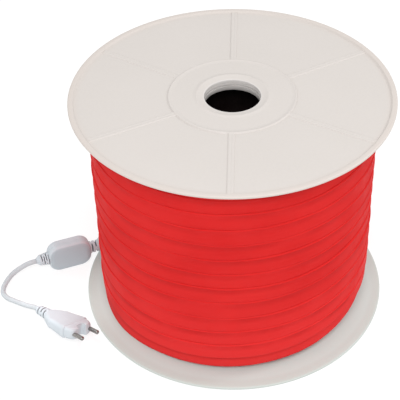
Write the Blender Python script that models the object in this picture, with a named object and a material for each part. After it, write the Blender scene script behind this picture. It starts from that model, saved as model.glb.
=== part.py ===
"""Reel of red LED neon flex with its white mains lead, standing on the lower flange."""
import math

import bmesh
import bpy
from mathutils import Vector

MM = 0.001

# Clearances
TOUCH_GAP = 0.3 * MM
SOCKET_CLEARANCE = 0.3 * MM

# Edges sharper than this stay crisp on a piece that is shaded smooth
CRISP_ANGLE = math.radians(35)

# Ribs of a moulded sleeve: the crest's share of a rib's pitch, and each slope's
RIB_CREST_SHARE = 0.6
RIB_SLOPE_SHARE = 0.1

# Reel
REEL_HEIGHT = 219 * MM
FLANGE_RADIUS = 140 * MM
RIM_THICKNESS = 2.6 * MM
RIM_ROUND = 0.8 * MM
LIP_WIDTH = 5 * MM
LIP_RISE = 1.6 * MM
PLATE_THICKNESS = 2 * MM
RIB_RISE = 0.6 * MM
HUB_DISC_RADIUS = 54 * MM
RIB_COUNT = 6
RIB_WIDTH = 5 * MM
RIB_TURN = math.radians(-1)
FLANGE_SEGMENTS = 60
HUB_BORE_RADIUS = 24.2 * MM
HUB_CHAMFER = 0.8 * MM
COLLAR_WALL = 5 * MM
COLLAR_LENGTH = 6.9 * MM
SPIGOT_WALL = 4 * MM
SPIGOT_LENGTH = 5.4 * MM
BARREL_RADIUS = 52 * MM
BARREL_WALL = 3 * MM
BARREL_SEGMENTS = 48

# Neon flex
FLEX_THICKNESS = 8 * MM
FLEX_HEIGHT = 16 * MM
FLEX_CORNER = 1.5 * MM
FLEX_CORNER_STEPS = 1
TURN_COUNT = 13
LAYER_COUNT = 9
WINDING_RADIUS = 124.4 * MM
LOWEST_TURN_STEP = 1 * MM
LOWEST_TURN_ROUND = 4 * MM
TURN_GROOVE_DEPTH = 1.4 * MM
TURN_GROOVE_HALF = 1.1 * MM
LAYER_GROOVE_DEPTH = 1 * MM
LAYER_GROOVE_HALF = 0.9 * MM
WINDING_SEGMENTS = 40
TAIL_LEAVE_ANGLE = math.radians(151.5)
TAIL_BURIED_ANGLE = math.radians(14)
TAIL_BURIED_STEPS = 4
TAIL_BEND_STEPS = 8

# Adaptor, which stands on its long edge beside the reel
ADAPTOR_CENTRE_X = -160.7 * MM
ADAPTOR_CENTRE_Y = 25.4 * MM
ADAPTOR_HEADING = math.radians(21.5)
ADAPTOR_LENGTH = 42 * MM
ADAPTOR_HEIGHT = 29 * MM
ADAPTOR_THICKNESS = 14 * MM
ADAPTOR_CORNER = 11 * MM
ADAPTOR_CORNER_STEPS = 6
ADAPTOR_BEVEL = 3 * MM
ADAPTOR_BEVEL_STEPS = 2

# Outlet neck, which takes the tail of the flex
NECK_HEIGHT = 11 * MM
NECK_THICKNESS = 8.4 * MM
NECK_LENGTH = 11.5 * MM
NECK_RIB_COUNT = 3
NECK_RIB_RISE = 0.7 * MM
NECK_CORNER_STEPS = 3
SOCKET_LENGTH = 5.5 * MM
SOCKET_WALL = 1.2 * MM
SOCKET_DEPTH = 4.5 * MM

# Inlet relief
RELIEF_ROOT_RADIUS = 6.4 * MM
RELIEF_NOSE_RADIUS = 5 * MM
RELIEF_TIP_RADIUS = 3.4 * MM
RELIEF_LENGTH = 11.5 * MM
RELIEF_NOSE_LENGTH = 2.5 * MM
RELIEF_RIB_COUNT = 3
RELIEF_GROOVE_DEPTH = 0.9 * MM
RELIEF_SIDES = 16

# Mains cord
CORD_DIAMETER = 4.5 * MM
CORD_SAMPLES_PER_SPAN = 2
CORD_LEAD_OUT = 3.4 * MM
CORD_LEAD_IN = 5 * MM

# Plug, which lies rolled towards its left pin, on its relief and one long edge
PLUG_TIP_X = -184.0 * MM
PLUG_TIP_Y = -41.6 * MM
PLUG_HEADING = math.radians(-39.5)
PLUG_ROLL = math.radians(18)
PLUG_FRONT_THICKNESS = 13.7 * MM
PLUG_FRONT_WIDTH = 31 * MM
PLUG_SHOULDER_WIDTH = 25 * MM
PLUG_BACK_WIDTH = 15 * MM
PLUG_BODY_LENGTH = 43 * MM
PLUG_SHOULDER_AT = 11 * MM
PLUG_BEVEL = 2 * MM
PLUG_EDGE = 3.4 * MM
PLUG_EDGE_LIMIT = 0.45
PLUG_EDGE_STEPS = 3
PLUG_RECESS_WIDTH = 10.5 * MM
PLUG_RECESS_DEPTH = 8 * MM
PLUG_RIB_COUNT = 3
PLUG_GROOVE_DEPTH = 0.8 * MM
PLUG_RELIEF_LENGTH = 17 * MM
PLUG_RELIEF_WIDTH = 12 * MM
PLUG_RELIEF_TIP = 8 * MM
PIN_DIAMETER = 4 * MM
PIN_LENGTH = 11 * MM
PIN_SPACING = 18.6 * MM
PIN_SOCKET_DEPTH = 2.5 * MM
PIN_TIP_ROUND = 1 * MM
PIN_TIP_STEPS = 2
PIN_SIDES = 12

# Route of the mains cord, in millimetres, from the inlet relief to the plug
CORD_ROUTE = [
    (-200.4, 10.4, 13.0),
    (-207.4, 7.6, 10.0),
    (-214.0, 3.2, 6.8),
    (-218.8, -3.8, 4.2),
    (-221.2, -11.6, 2.7),
    (-220.0, -19.0, 2.3),
    (-214.8, -25.0, 2.3),
    (-207.2, -29.3, 2.3),
    (-199.4, -33.4, 2.6),
    (-193.2, -36.6, 3.3),
]


def clear_scene():
    for old in list(bpy.data.objects):
        bpy.data.objects.remove(old, do_unlink=True)


def make_material(name, colour, roughness, metallic=0.0):
    material = bpy.data.materials.new(name)
    material.use_nodes = True
    shader = material.node_tree.nodes["Principled BSDF"]
    shader.inputs["Base Color"].default_value = (*colour, 1.0)
    shader.inputs["Roughness"].default_value = roughness
    shader.inputs["Metallic"].default_value = metallic
    return material


def add_object(name, bm, material, smooth=True):
    bmesh.ops.recalc_face_normals(bm, faces=bm.faces)
    mesh = bpy.data.meshes.new(name)
    bm.to_mesh(mesh)
    bm.free()
    if smooth:
        mesh.shade_smooth()
        mesh.set_sharp_from_angle(angle=CRISP_ANGLE)
    mesh.materials.append(material)
    item = bpy.data.objects.new(name, mesh)
    bpy.context.scene.collection.objects.link(item)
    return item


def add_cutter(target, tool, operation):
    """Apply a hidden tool object to a target with a live Boolean."""
    tool.hide_render = True
    tool.display_type = "WIRE"
    step = target.modifiers.new(tool.name, "BOOLEAN")
    step.operation = operation
    step.solver = "EXACT"
    step.object = tool


def skin_rings(rings, closed):
    """Join equal rings of points, as a closed loop of rings or with a cap at each end."""
    bm = bmesh.new()
    loops = [[bm.verts.new(point) for point in ring] for ring in rings]
    count = len(loops)
    for index in range(count if closed else count - 1):
        here = loops[index]
        there = loops[(index + 1) % count]
        for corner in range(len(here)):
            following = (corner + 1) % len(here)
            bm.faces.new((here[corner], here[following], there[following], there[corner]))
    if not closed:
        bm.faces.new(list(reversed(loops[0])))
        bm.faces.new(loops[-1])
    return bm


def turned(profile, segments):
    """Revolve a closed outline of (radius, height) points about the reel's axis."""
    rings = []
    for step in range(segments):
        angle = math.tau * step / segments
        rings.append([(r * math.cos(angle), r * math.sin(angle), z) for r, z in profile])
    return skin_rings(rings, closed=True)


def heading_frame(origin, heading, pitch=0.0, roll=0.0):
    """Return a function that places (along, across, up) lengths of a piece in the world."""
    level = math.cos(pitch)
    along = Vector((math.cos(heading) * level, math.sin(heading) * level, math.sin(pitch)))
    level_across = Vector((-math.sin(heading), math.cos(heading), 0.0))
    level_up = along.cross(level_across)
    across = level_across * math.cos(roll) - level_up * math.sin(roll)
    up = level_up * math.cos(roll) + level_across * math.sin(roll)

    def place(a, b, c):
        return Vector(origin) + along * a + across * b + up * c

    return place


def rounded_rectangle(width, height, corner, steps):
    points = []
    for quarter in range(4):
        centre_x = (width / 2 - corner) * (1 if quarter in (0, 3) else -1)
        centre_y = (height / 2 - corner) * (1 if quarter in (0, 1) else -1)
        for step in range(steps + 1):
            angle = math.pi / 2 * (quarter + step / steps)
            points.append((centre_x + corner * math.cos(angle), centre_y + corner * math.sin(angle)))
    return points


def circle(diameter, sides):
    radius = diameter / 2
    turns = [math.tau * side / sides for side in range(sides)]
    return [(radius * math.cos(turn), radius * math.sin(turn)) for turn in turns]


def round_over(size, steps):
    """Setback and inset of each step of a quarter-round edge, from its face inwards."""
    turns = [math.pi / 2 * step / steps for step in range(steps + 1)]
    return [(size * (1 - math.cos(turn)), size * (1 - math.sin(turn))) for turn in turns]


def rib_stations(count, pitch):
    """Distances along a ribbed sleeve, each with True where it lies in a groove."""
    stations = []
    for number in range(count):
        start = pitch * number
        crest_end = start + pitch * RIB_CREST_SHARE
        groove_end = start + pitch * (1 - RIB_SLOPE_SHARE)
        stations += [(start, False), (crest_end, False)]
        stations += [(crest_end + pitch * RIB_SLOPE_SHARE, True), (groove_end, True)]
    return stations


# Reel

def plate_inner_depth():
    """Depth of the plate's inner face below the lip."""
    return LIP_RISE + PLATE_THICKNESS


def flange_profile():
    """Outline of a flange before its panels are cut; the height is the depth below the lip."""
    collar_radius = HUB_BORE_RADIUS + COLLAR_WALL
    spigot_radius = BARREL_RADIUS - BARREL_WALL - TOUCH_GAP
    lip_radius = FLANGE_RADIUS - LIP_WIDTH
    face = LIP_RISE - RIB_RISE
    inner = plate_inner_depth()
    return [
        (HUB_BORE_RADIUS, face + HUB_CHAMFER),
        (HUB_BORE_RADIUS + HUB_CHAMFER, face),
        (lip_radius, face),
        (lip_radius, 0.0),
        (FLANGE_RADIUS - RIM_ROUND, 0.0),
        (FLANGE_RADIUS, RIM_ROUND),
        (FLANGE_RADIUS, RIM_THICKNESS - RIM_ROUND),
        (FLANGE_RADIUS - RIM_ROUND, RIM_THICKNESS),
        (lip_radius, RIM_THICKNESS),
        (lip_radius - (inner - RIM_THICKNESS), inner),
        (spigot_radius, inner),
        (spigot_radius, inner + SPIGOT_LENGTH),
        (spigot_radius - SPIGOT_WALL, inner + SPIGOT_LENGTH),
        (spigot_radius - SPIGOT_WALL, inner),
        (collar_radius, inner),
        (collar_radius, inner + COLLAR_LENGTH),
        (HUB_BORE_RADIUS, inner + COLLAR_LENGTH),
    ]


def panel_outline():
    """Outline of one sunk panel, between two ribs, the hub disc and the lip."""
    outer = FLANGE_RADIUS - LIP_WIDTH - RIB_RISE
    half_rib = RIB_WIDTH / 2
    arc_steps = FLANGE_SEGMENTS // RIB_COUNT
    span = math.tau / RIB_COUNT
    points = []
    for radius, order in ((HUB_DISC_RADIUS, 1), (outer, -1)):
        start = math.asin(half_rib / radius)
        arc = [start + (span - 2 * start) * step / arc_steps for step in range(arc_steps + 1)]
        points += [(radius * math.cos(a), radius * math.sin(a)) for a in arc[::order]]
    return points


def make_flange(name, outer_face, inward, material):
    """outer_face is the height of the lip that the flange stands on; inward is +1 or -1."""
    profile = [(r, outer_face + inward * depth) for r, depth in flange_profile()]
    flange = add_object(name, turned(profile, FLANGE_SEGMENTS), material)
    outline = panel_outline()
    reach = (outer_face, outer_face + inward * LIP_RISE)
    for number in range(RIB_COUNT):
        turn = math.pi / 2 + RIB_TURN + math.tau * number / RIB_COUNT
        cosine = math.cos(turn)
        sine = math.sin(turn)
        turned_outline = [(x * cosine - y * sine, x * sine + y * cosine) for x, y in outline]
        rings = [[(x, y, height) for x, y in turned_outline] for height in reach]
        panel = skin_rings(rings, closed=False)
        cutter = add_object(f"{name}_panel_{number + 1}", panel, material, smooth=False)
        add_cutter(flange, cutter, "DIFFERENCE")
    return flange


def make_barrel(material):
    low = plate_inner_depth() + TOUCH_GAP
    high = REEL_HEIGHT - low
    inner = BARREL_RADIUS - BARREL_WALL
    profile = [(inner, low), (BARREL_RADIUS, low), (BARREL_RADIUS, high), (inner, high)]
    return add_object("barrel", turned(profile, BARREL_SEGMENTS), material)


# Neon flex

def winding_limits():
    low = plate_inner_depth() + TOUCH_GAP
    return low, REEL_HEIGHT - low


def turn_pitch():
    low, high = winding_limits()
    return (high - low) / TURN_COUNT


def winding_profile():
    """Outline of the wound ring: turns on its outer side, layers on both ends."""
    low, high = winding_limits()
    bore = BARREL_RADIUS + TOUCH_GAP
    points = [(bore, low)]
    layer = (WINDING_RADIUS - bore) / LAYER_COUNT
    for number in range(1, LAYER_COUNT):
        edge = bore + layer * number
        points.append((edge - LAYER_GROOVE_HALF, low))
        points.append((edge, low + LAYER_GROOVE_DEPTH))
        points.append((edge + LAYER_GROOVE_HALF, low))
    pitch = turn_pitch()
    for number in range(TURN_COUNT):
        radius = WINDING_RADIUS - (LOWEST_TURN_STEP if number == 0 else 0.0)
        base = low + pitch * number
        if number == 0:
            points.append((radius - LOWEST_TURN_ROUND, base))
            points.append((radius, base + LOWEST_TURN_ROUND))
        else:
            points.append((radius, base + TURN_GROOVE_HALF))
        points.append((radius, base + pitch - TURN_GROOVE_HALF))
        points.append((radius - TURN_GROOVE_DEPTH, base + pitch))
    for number in range(LAYER_COUNT - 1, 0, -1):
        edge = bore + layer * number
        points.append((edge + LAYER_GROOVE_HALF, high))
        points.append((edge, high - LAYER_GROOVE_DEPTH))
        points.append((edge - LAYER_GROOVE_HALF, high))
    points.append((bore, high))
    return points


def adaptor_axis_height():
    return ADAPTOR_HEIGHT / 2


def tail_geometry():
    """Where the flex leaves the winding, its two headings, its bend, and where that ends on the axis."""
    centreline = WINDING_RADIUS - LOWEST_TURN_STEP - FLEX_THICKNESS / 2
    leave = Vector((math.cos(TAIL_LEAVE_ANGLE), math.sin(TAIL_LEAVE_ANGLE))) * centreline
    start = TAIL_LEAVE_ANGLE + math.pi / 2
    end = ADAPTOR_HEADING + math.pi
    shift = Vector((math.sin(start) - math.sin(end), math.cos(end) - math.cos(start)))
    axis = Vector((math.cos(ADAPTOR_HEADING), math.sin(ADAPTOR_HEADING)))
    offset = leave - Vector((ADAPTOR_CENTRE_X, ADAPTOR_CENTRE_Y))
    bend = -(offset.x * axis.y - offset.y * axis.x) / (shift.x * axis.y - shift.y * axis.x)
    reach = (offset + shift * bend).dot(axis)
    return leave, start, end, bend, reach


def make_tail(material):
    """The free end of the flex: from the lowest turn, round a bend, into the outlet socket."""
    leave, start, end, bend, reach = tail_geometry()
    low_centre = winding_limits()[0] + turn_pitch() / 2
    high_centre = adaptor_axis_height()
    centreline = leave.length
    stations = []
    for step in range(TAIL_BURIED_STEPS):
        angle = TAIL_LEAVE_ANGLE - TAIL_BURIED_ANGLE * (1 - step / TAIL_BURIED_STEPS)
        x = centreline * math.cos(angle)
        y = centreline * math.sin(angle)
        stations.append((x, y, low_centre, angle + math.pi / 2))
    hub = leave + bend * Vector((math.sin(start), -math.cos(start)))
    for step in range(TAIL_BEND_STEPS + 1):
        share = step / TAIL_BEND_STEPS
        heading = start + (end - start) * share
        lift = share * share * (3 - 2 * share)
        x = hub.x - bend * math.sin(heading)
        y = hub.y + bend * math.cos(heading)
        stations.append((x, y, low_centre + (high_centre - low_centre) * lift, heading))
    straight = reach - ADAPTOR_LENGTH / 2 - outlet_length() + SOCKET_DEPTH - SOCKET_CLEARANCE
    x, y, _, _ = stations[-1]
    tip_x = x + straight * math.cos(end)
    tip_y = y + straight * math.sin(end)
    stations.append((tip_x, tip_y, high_centre, end))
    section = rounded_rectangle(FLEX_THICKNESS, FLEX_HEIGHT, FLEX_CORNER, FLEX_CORNER_STEPS)
    rings = []
    for x, y, z, heading in stations:
        side_x = math.sin(heading)
        side_y = -math.cos(heading)
        rings.append([(x + a * side_x, y + a * side_y, z + c) for a, c in section])
    return add_object("flex_tail", skin_rings(rings, closed=False), material, smooth=False)


def make_neon_flex(material):
    flex = add_object("neon_flex", turned(winding_profile(), WINDING_SEGMENTS), material)
    add_cutter(flex, make_tail(material), "UNION")
    return flex


# Adaptor and its reliefs

def adaptor_frame():
    centre = (ADAPTOR_CENTRE_X, ADAPTOR_CENTRE_Y, adaptor_axis_height())
    return heading_frame(centre, ADAPTOR_HEADING)


def make_adaptor(material):
    place = adaptor_frame()
    half = ADAPTOR_THICKNESS / 2
    edge = round_over(ADAPTOR_BEVEL, ADAPTOR_BEVEL_STEPS)
    near_side = [(setback - half, inset) for setback, inset in edge]
    far_side = [(half - setback, inset) for setback, inset in reversed(edge)]
    rings = []
    for across, inset in near_side + far_side:
        length = ADAPTOR_LENGTH - 2 * inset
        height = ADAPTOR_HEIGHT - 2 * inset
        corner = ADAPTOR_CORNER - inset
        outline = rounded_rectangle(length, height, corner, ADAPTOR_CORNER_STEPS)
        rings.append([place(a, across, c) for a, c in outline])
    return add_object("adaptor_case", skin_rings(rings, closed=False), material)


def make_inlet_relief(material):
    """Ribbed cone over the mains cord, on the adaptor's outer end, with a rounded-off nose."""
    place = adaptor_frame()
    root = -ADAPTOR_LENGTH / 2 - TOUCH_GAP
    ribbed_length = RELIEF_LENGTH - RELIEF_NOSE_LENGTH
    stations = rib_stations(RELIEF_RIB_COUNT, ribbed_length / RELIEF_RIB_COUNT)
    stations.append((ribbed_length, False))
    rings = []
    for distance, in_groove in stations:
        share = distance / ribbed_length
        radius = RELIEF_ROOT_RADIUS + (RELIEF_NOSE_RADIUS - RELIEF_ROOT_RADIUS) * share
        if in_groove:
            radius -= RELIEF_GROOVE_DEPTH
        section = circle(2 * radius, RELIEF_SIDES)
        rings.append([place(root - distance, b, c) for b, c in section])
    section = circle(2 * RELIEF_TIP_RADIUS, RELIEF_SIDES)
    rings.append([place(root - RELIEF_LENGTH, b, c) for b, c in section])
    return add_object("adaptor_inlet_relief", skin_rings(rings, closed=False), material)


def outlet_length():
    return NECK_LENGTH + SOCKET_LENGTH


def make_outlet_relief(material):
    """Ribbed neck that widens into a socket over the tail of the flex."""
    place = adaptor_frame()
    root = ADAPTOR_LENGTH / 2 + TOUCH_GAP
    mouth = outlet_length() - TOUCH_GAP
    corner = FLEX_CORNER + SOCKET_WALL
    rings = []
    for distance, in_groove in rib_stations(NECK_RIB_COUNT, NECK_LENGTH / (NECK_RIB_COUNT + 1)):
        cut = 2 * NECK_RIB_RISE if in_groove else 0.0
        outline = rounded_rectangle(NECK_THICKNESS - cut, NECK_HEIGHT - cut, corner, NECK_CORNER_STEPS)
        rings.append([place(root + distance, b, c) for b, c in outline])
    wall = 2 * (SOCKET_CLEARANCE + SOCKET_WALL)
    outline = rounded_rectangle(FLEX_THICKNESS + wall, FLEX_HEIGHT + wall, corner, NECK_CORNER_STEPS)
    for distance in (NECK_LENGTH, mouth):
        rings.append([place(root + distance, b, c) for b, c in outline])
    relief = add_object("adaptor_outlet_relief", skin_rings(rings, closed=False), material)
    play = 2 * SOCKET_CLEARANCE
    hollow = rounded_rectangle(FLEX_THICKNESS + play, FLEX_HEIGHT + play, FLEX_CORNER, FLEX_CORNER_STEPS)
    ends = (root + mouth - SOCKET_DEPTH, root + mouth + SOCKET_DEPTH)
    pocket_rings = [[place(distance, b, c) for b, c in hollow] for distance in ends]
    pocket = add_object("outlet_pocket", skin_rings(pocket_rings, closed=False), material, smooth=False)
    add_cutter(relief, pocket, "DIFFERENCE")
    return relief


# Mains cord and plug

def plug_length():
    return PLUG_RELIEF_LENGTH + PLUG_BODY_LENGTH


def plug_thickness(distance):
    growth = PLUG_FRONT_THICKNESS - PLUG_RELIEF_TIP
    return PLUG_RELIEF_TIP + growth * distance / plug_length()


def edge_radius(width, thickness):
    return min(PLUG_EDGE, PLUG_EDGE_LIMIT * min(width, thickness))


def reach_below_axis(width, thickness):
    """How far a rounded section of the rolled plug reaches below its axis."""
    edge = edge_radius(width, thickness)
    upright = (thickness / 2 - edge) * math.cos(PLUG_ROLL)
    return upright + (width / 2 - edge) * math.sin(PLUG_ROLL) + edge


def plug_pitch():
    """Slope of the plug's axis, so that it rests on its relief's tip and on its widest edge."""
    tip = reach_below_axis(PLUG_RELIEF_TIP, PLUG_RELIEF_TIP)
    widths = ((PLUG_RELIEF_LENGTH, PLUG_BACK_WIDTH),
              (PLUG_RELIEF_LENGTH + PLUG_SHOULDER_AT, PLUG_SHOULDER_WIDTH),
              (plug_length(), PLUG_FRONT_WIDTH))
    slopes = [(reach_below_axis(width, plug_thickness(at)) - tip) / at for at, width in widths]
    return math.atan(max(slopes))


def plug_frame():
    pitch = plug_pitch()
    tip_height = reach_below_axis(PLUG_RELIEF_TIP, PLUG_RELIEF_TIP) * math.cos(pitch)
    return heading_frame((PLUG_TIP_X, PLUG_TIP_Y, tip_height), PLUG_HEADING, pitch, PLUG_ROLL)


def inlet_tip():
    place = adaptor_frame()
    return place(-ADAPTOR_LENGTH / 2 - RELIEF_LENGTH - 2 * TOUCH_GAP, 0.0, 0.0)


def smooth_path(points, samples):
    """Points on a smooth curve through the route's own points."""
    path = []
    last = len(points) - 1
    for index in range(last):
        before = points[max(index - 1, 0)]
        here = points[index]
        there = points[index + 1]
        after = points[min(index + 2, last)]
        for step in range(samples):
            t = step / samples
            path.append(0.5 * ((2 * here) + (there - before) * t
                               + (2 * before - 5 * here + 4 * there - after) * t * t
                               + (3 * here - before - 3 * there + after) * t ** 3))
    path.append(points[last])
    return path


def make_cord(material):
    exit_place = adaptor_frame()
    start = inlet_tip()
    lead_out = exit_place(-ADAPTOR_LENGTH / 2 - RELIEF_LENGTH - 2 * TOUCH_GAP - CORD_LEAD_OUT, 0.0, 0.0)
    plug_place = plug_frame()
    lead_in = plug_place(-CORD_LEAD_IN, 0.0, 0.0)
    finish = plug_place(-TOUCH_GAP, 0.0, 0.0)
    route = [start, lead_out] + [Vector(point) * MM for point in CORD_ROUTE] + [lead_in, finish]
    points = smooth_path(route, CORD_SAMPLES_PER_SPAN)
    curve = bpy.data.curves.new("mains_cord", "CURVE")
    curve.dimensions = "3D"
    curve.bevel_depth = CORD_DIAMETER / 2
    curve.bevel_resolution = 2
    curve.use_fill_caps = True
    spline = curve.splines.new("POLY")
    spline.points.add(len(points) - 1)
    for item, point in zip(spline.points, points):
        item.co = (*point, 1.0)
    cord = bpy.data.objects.new("mains_cord", curve)
    bpy.context.scene.collection.objects.link(cord)
    cord.data.materials.append(material)
    return cord


def plug_outline():
    """Distance, width and thickness of the moulded plug, from the cord to the pins."""
    body = PLUG_RELIEF_LENGTH
    shoulder = body + PLUG_SHOULDER_AT
    front = plug_length()
    rows = []
    for distance, in_groove in rib_stations(PLUG_RIB_COUNT, PLUG_RELIEF_LENGTH / PLUG_RIB_COUNT):
        width = PLUG_RELIEF_TIP + (PLUG_RELIEF_WIDTH - PLUG_RELIEF_TIP) * distance / body
        cut = 2 * PLUG_GROOVE_DEPTH if in_groove else 0.0
        rows.append((distance, width - cut, plug_thickness(distance) - cut))
    rows.append((body, PLUG_BACK_WIDTH, plug_thickness(body)))
    rows.append((shoulder, PLUG_SHOULDER_WIDTH, plug_thickness(shoulder)))
    rows.append((front - PLUG_BEVEL, PLUG_FRONT_WIDTH, plug_thickness(front - PLUG_BEVEL)))
    rows.append((front, PLUG_FRONT_WIDTH - PLUG_BEVEL, plug_thickness(front) - PLUG_BEVEL))
    return rows


def cut_front(plug, name, across, section, depth, material):
    """Cut a section, given about a line across from the axis, into the plug's front."""
    place = plug_frame()
    ends = (plug_length() - depth, plug_length() + depth)
    rings = [[place(distance, across + b, c) for b, c in section] for distance in ends]
    tool = add_object(name, skin_rings(rings, closed=False), material, smooth=False)
    add_cutter(plug, tool, "DIFFERENCE")


def make_plug(material):
    """Moulded plug, recessed between the two blocks that carry the pins."""
    place = plug_frame()
    rings = []
    for distance, width, thickness in plug_outline():
        outline = rounded_rectangle(width, thickness, edge_radius(width, thickness), PLUG_EDGE_STEPS)
        rings.append([place(distance, b, c) for b, c in outline])
    plug = add_object("plug_body", skin_rings(rings, closed=False), material)
    half_recess = PLUG_RECESS_WIDTH / 2
    clear = PLUG_FRONT_THICKNESS
    slot = [(-half_recess, -clear), (half_recess, -clear), (half_recess, clear), (-half_recess, clear)]
    cut_front(plug, "plug_recess", 0.0, slot, PLUG_RECESS_DEPTH, material)
    hole = circle(PIN_DIAMETER + 2 * TOUCH_GAP, PIN_SIDES)
    for name, side in (("plug_hole_left", 1), ("plug_hole_right", -1)):
        cut_front(plug, name, side * PIN_SPACING / 2, hole, PIN_SOCKET_DEPTH, material)
    return plug


def make_pin(name, side, material):
    """One metal pin, seated in its hole in the plug's front, with a rounded tip."""
    place = plug_frame()
    offset = side * PIN_SPACING / 2
    tip = plug_length() + PIN_LENGTH
    stations = [(plug_length() - PIN_SOCKET_DEPTH + TOUCH_GAP, 0.0)]
    stations += [(tip - setback, inset) for inset, setback in round_over(PIN_TIP_ROUND, PIN_TIP_STEPS)]
    rings = []
    for distance, inset in stations:
        section = circle(PIN_DIAMETER - 2 * inset, PIN_SIDES)
        rings.append([place(distance, offset + b, c) for b, c in section])
    return add_object(name, skin_rings(rings, closed=False), material)


def main():
    clear_scene()
    reel_plastic = make_material("reel_plastic", (0.78, 0.73, 0.69), 0.45)
    barrel_plastic = make_material("barrel_plastic", (0.02, 0.02, 0.022), 0.6)
    red_flex = make_material("red_flex", (0.66, 0.02, 0.02), 0.4)
    lead_plastic = make_material("lead_plastic", (0.72, 0.72, 0.76), 0.4)
    pin_metal = make_material("pin_metal", (0.5, 0.48, 0.46), 0.3, metallic=1.0)
    make_flange("lower_flange", 0.0, 1, reel_plastic)
    make_flange("upper_flange", REEL_HEIGHT, -1, reel_plastic)
    make_barrel(barrel_plastic)
    make_neon_flex(red_flex)
    make_adaptor(lead_plastic)
    make_inlet_relief(lead_plastic)
    make_outlet_relief(lead_plastic)
    make_cord(lead_plastic)
    make_plug(lead_plastic)
    make_pin("plug_pin_left", 1, pin_metal)
    make_pin("plug_pin_right", -1, pin_metal)


main()
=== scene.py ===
"""Looks of the neon flex reel: flanges, wound flex and mains lead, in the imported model's frame."""

import math

import bmesh
import bpy
from mathutils import Matrix, Vector


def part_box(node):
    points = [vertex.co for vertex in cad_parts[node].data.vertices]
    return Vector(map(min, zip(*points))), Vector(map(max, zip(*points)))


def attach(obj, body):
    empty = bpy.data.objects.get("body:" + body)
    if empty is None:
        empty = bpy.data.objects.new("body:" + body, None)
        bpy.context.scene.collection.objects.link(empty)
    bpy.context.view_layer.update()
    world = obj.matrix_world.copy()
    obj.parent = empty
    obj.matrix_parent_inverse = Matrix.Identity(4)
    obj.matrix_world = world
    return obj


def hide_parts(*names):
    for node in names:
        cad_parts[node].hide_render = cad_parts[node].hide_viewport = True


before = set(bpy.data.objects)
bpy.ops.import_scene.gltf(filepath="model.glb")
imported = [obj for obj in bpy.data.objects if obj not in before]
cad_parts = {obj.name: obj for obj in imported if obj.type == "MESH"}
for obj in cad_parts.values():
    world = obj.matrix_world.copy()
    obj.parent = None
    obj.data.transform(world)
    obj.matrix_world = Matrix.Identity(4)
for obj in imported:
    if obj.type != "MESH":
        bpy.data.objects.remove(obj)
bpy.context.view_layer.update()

MM = 0.001
ROOT = "root"
WHITE = (1.0, 1.0, 1.0, 1.0)
CRISP_ANGLE = math.radians(50)
WELD_DISTANCE = 0.01 * MM
TOUCH_GAP = 0.3 * MM
HALF_TURN = Matrix.Rotation(math.pi, 4, "Z")

# Camera, fitted to the outlines of both flanges in the photograph
PHOTO_WIDTH = 400
CAMERA_AIM = Vector((0.0, 0.0, 109.5 * MM))
CAMERA_DISTANCE = 1079.0 * MM
CAMERA_ELEVATION = math.radians(39.19)
CAMERA_ROLL = math.radians(-0.43)
CAMERA_FOCAL_PIXELS = 1186.9
CAMERA_CENTRE_PIXEL = (233.2, 192.4)
SENSOR_WIDTH = 36.0
CAMERA_REACH = (0.01, 50.0)

# Studio light
WORLD_STRENGTH = 0.85
FLOOR_GLOW = 0.72
FLOOR_TONE = 0.3
FLOOR_HALF_SIDE = 25.0
# Place, aim, size and power of each area light, and place, aim, spread and power of the spot
AREA_LIGHTS = {
    "key_light": ((1.2, 0.15, 1.0), (0.0, 0.0, 0.15), 0.4, 4.3),
    "front_light": ((-0.05, -1.22, 1.5), (0.0, 0.0, 0.1), 0.8, 16.5),
    "side_light": ((-1.2, 0.1, 0.9), (-0.18, 0.0, 0.01), 0.5, 0.5),
}
PLUG_LIGHT = ((-0.33, 0.2, 1.1), (-0.187, -0.06, 0.01), math.radians(6.5), 33.0)
PLUG_LIGHT_BLEND = 0.7
PLUG_LIGHT_SIZE = 0.03

# Reel
REEL_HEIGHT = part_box("upper_flange")[1].z
FLANGE_RADIUS = 140 * MM
LIP_WIDTH = 4.6 * MM
LIP_RISE = 1.6 * MM
RIM_THICKNESS = 2.8 * MM
DISH = 1.2 * MM
PLATE_INNER_DEPTH = 3.6 * MM
RIB_RISE = 0.7 * MM
RIB_WIDTH = 5 * MM
RIB_COUNT = 6
RIB_TURN = math.radians(-1)
RIB_WALL = 0.4 * MM
FLANGE_FIELD_STEPS = 34
HUB_DISC_RADIUS = 54 * MM
HUB_RING_RADIUS = 31 * MM
HUB_BEAD = 0.45 * MM
HUB_BORE_RADIUS = 24.2 * MM
COLLAR_RADIUS = 29.2 * MM
COLLAR_DEPTH = 13.8 * MM
SPIGOT_RADIUS = 48.7 * MM
SPIGOT_WALL = 4 * MM
SPIGOT_DEPTH = 9 * MM

# Wound flex
FLEX_THICKNESS = 8 * MM
FLEX_HEIGHT = 16 * MM
TURN_COUNT = 13
LAYER_COUNT = 9
WINDING_RADIUS = 124.4 * MM
WINDING_BORE = 52.3 * MM
WINDING_LOW = 3.9 * MM
WINDING_HIGH = REEL_HEIGHT - WINDING_LOW
TURN_PITCH = (WINDING_HIGH - WINDING_LOW) / TURN_COUNT
LOWEST_TURN_STEP = 1 * MM
LOWEST_TURN_SINK = 3.4 * MM
TURN_OVERLAP = 1.06
TURN_CLIMB = 11.5 * MM
SECOND_LAYER_CLIMB = 6.5 * MM
EDGE_LIP = 0.85 * MM
# Strength of the painted shade under each turn's lip
BELOW_LIP_SHADE_STRENGTH = 0.85
SECTION_POINTS = 33
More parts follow.
